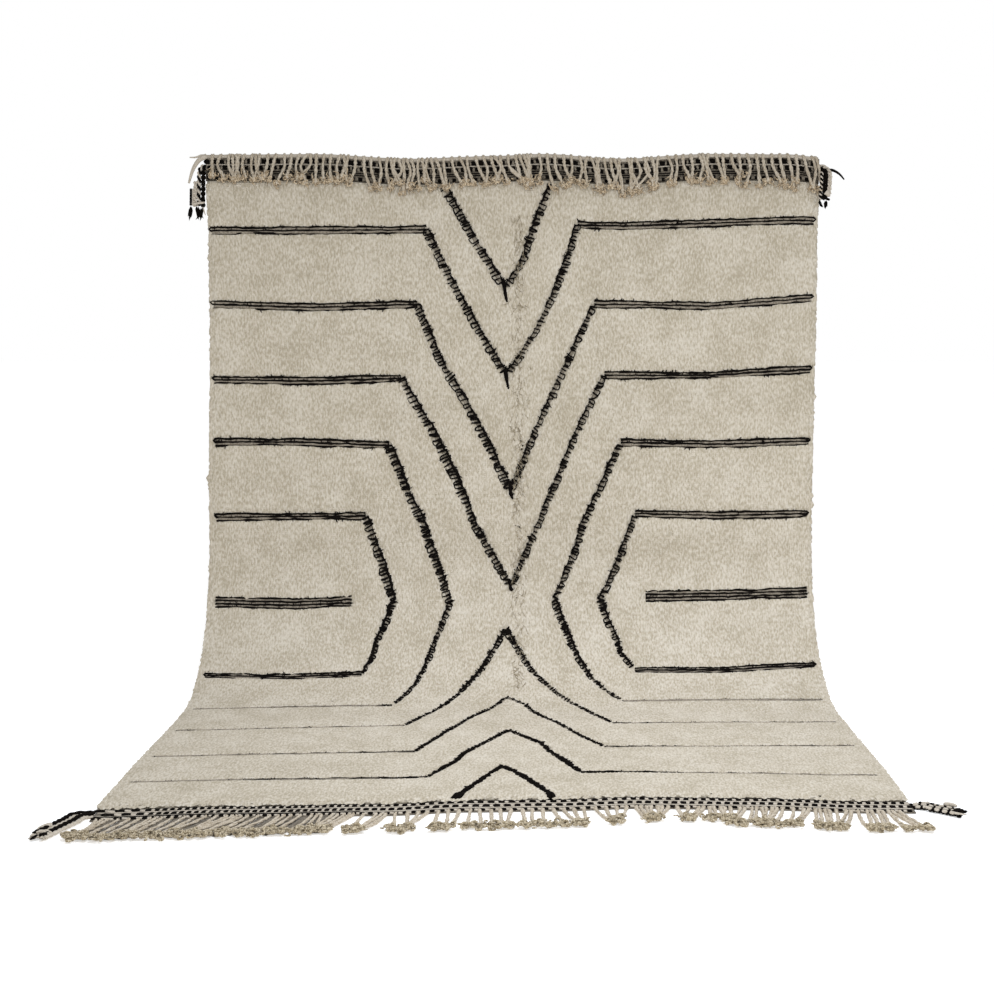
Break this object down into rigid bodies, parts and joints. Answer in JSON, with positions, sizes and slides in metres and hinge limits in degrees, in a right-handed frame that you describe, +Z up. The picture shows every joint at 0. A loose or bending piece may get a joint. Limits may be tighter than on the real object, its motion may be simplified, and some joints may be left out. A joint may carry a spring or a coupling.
{
  "type": "beni ourain rug",
  "caption": "Hand-knotted ivory wool rug with black chevron lines, twined end bands and corded fringe, hung by its top end and run out over the floor",
  "frame": {"origin": "middle of the rug's top edge, on the plane of its woven back; the floor is 1.726 m below it", "axes": "+X across the rug to the right seen from the pile side, +Y towards the woven back of the hanging part, +Z up"},
  "size_m": [2.2349, 1.646, 1.7442],
  "materials": {
    "ivory_pile": "matte",
    "warp_cord": "matte",
    "twined_wool": "matte"
  },
  "bodies": {
    "root": {"pile_field": "ivory_pile", "top_band_fringe": "warp_cord", "bottom_band_fringe": "warp_cord", "tail_top_left": "twined_wool", "tail_top_right": "twined_wool", "tail_bottom_left": "twined_wool", "tail_bottom_right": "twined_wool"}
  },
  "joints": []
}
